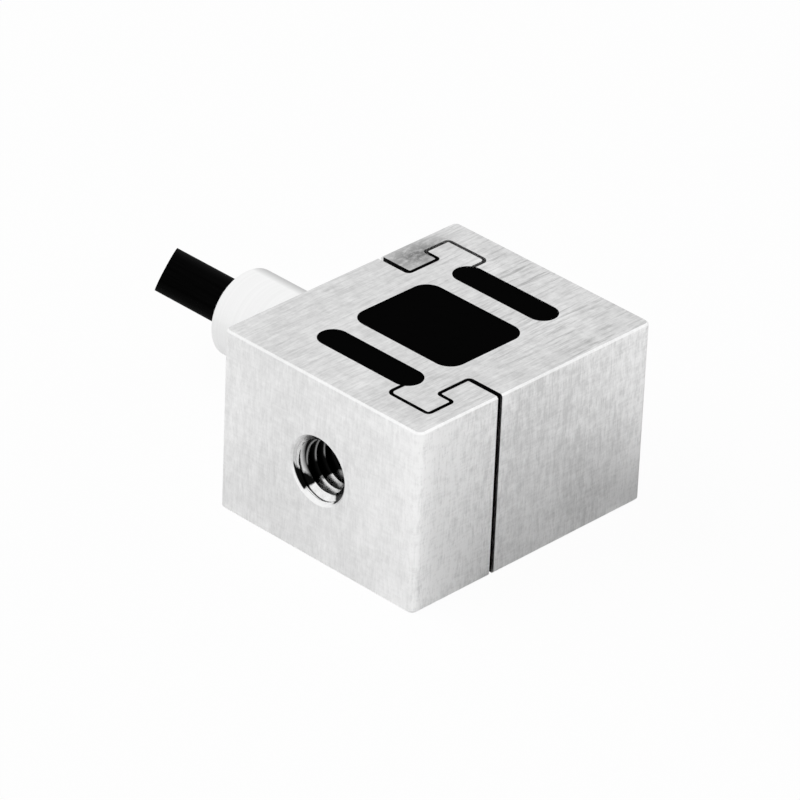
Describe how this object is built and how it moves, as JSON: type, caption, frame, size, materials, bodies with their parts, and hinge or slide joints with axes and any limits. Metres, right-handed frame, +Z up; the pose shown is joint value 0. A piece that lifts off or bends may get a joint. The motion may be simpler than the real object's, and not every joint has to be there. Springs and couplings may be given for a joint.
{
  "type": "s type load cell",
  "caption": "Small block load cell with a potted central cavity, slots and hook-shaped overload stops, a tapped hole in each end and a cable from one side.",
  "frame": {"origin": "centre of the block's underside, in the middle of the flush compound that fills the cavity", "axes": "+Y along the load axis towards the far tapped end, +X away from the cable, +Z up out of the face that shows the slots"},
  "size_m": [0.0318, 0.019, 0.012],
  "materials": {
    "spring_steel": "brushed, broken edges",
    "carrier_film": "amber film",
    "gauge_foil": "etched foil",
    "gauge_lead": "nickel ribbon",
    "tinned_copper": "tinned",
    "red_insulation": "satin",
    "black_insulation": "satin",
    "green_insulation": "satin",
    "white_insulation": "satin",
    "board_laminate": "satin",
    "resistor_body": "matt",
    "solder": "bright",
    "cable_jacket": "satin",
    "shield_braid": "tinned braid",
    "sleeve_metal": "turned, bright",
    "grommet_rubber": "matt",
    "black_compound": "matt",
    "clear_sealant": "satin"
  },
  "bodies": {
    "root": {"spring_body": "spring_steel", "strain_gauge_1": "carrier_film", "gauge_foil_1": "gauge_foil", "gauge_lead_1a": "gauge_lead", "gauge_lead_1b": "gauge_lead", "strain_gauge_2": "carrier_film", "gauge_foil_2": "gauge_foil", "gauge_lead_2a": "gauge_lead", "gauge_lead_2b": "gauge_lead", "strain_gauge_3": "carrier_film", "gauge_foil_3": "gauge_foil", "gauge_lead_3a": "gauge_lead", "gauge_lead_3b": "gauge_lead", "strain_gauge_4": "carrier_film", "gauge_foil_4": "gauge_foil", "gauge_lead_4a": "gauge_lead", "gauge_lead_4b": "gauge_lead", "red_conductor": "tinned_copper", "red_insulation": "red_insulation", "black_conductor": "tinned_copper", "black_insulation": "black_insulation", "green_conductor": "tinned_copper", "green_insulation": "green_insulation", "white_conductor": "tinned_copper", "white_insulation": "white_insulation", "terminal_board": "board_laminate", "zero_resistor": "resistor_body", "span_resistor": "resistor_body", "solder_joints": "solder", "cable_jacket": "cable_jacket", "cable_shield": "shield_braid", "cable_sleeve": "sleeve_metal", "cable_grommet": "grommet_rubber", "near_slot_filler": "black_compound", "far_slot_filler": "black_compound", "cavity_potting": "black_compound", "entry_seal": "clear_sealant"}
  },
  "joints": []
}
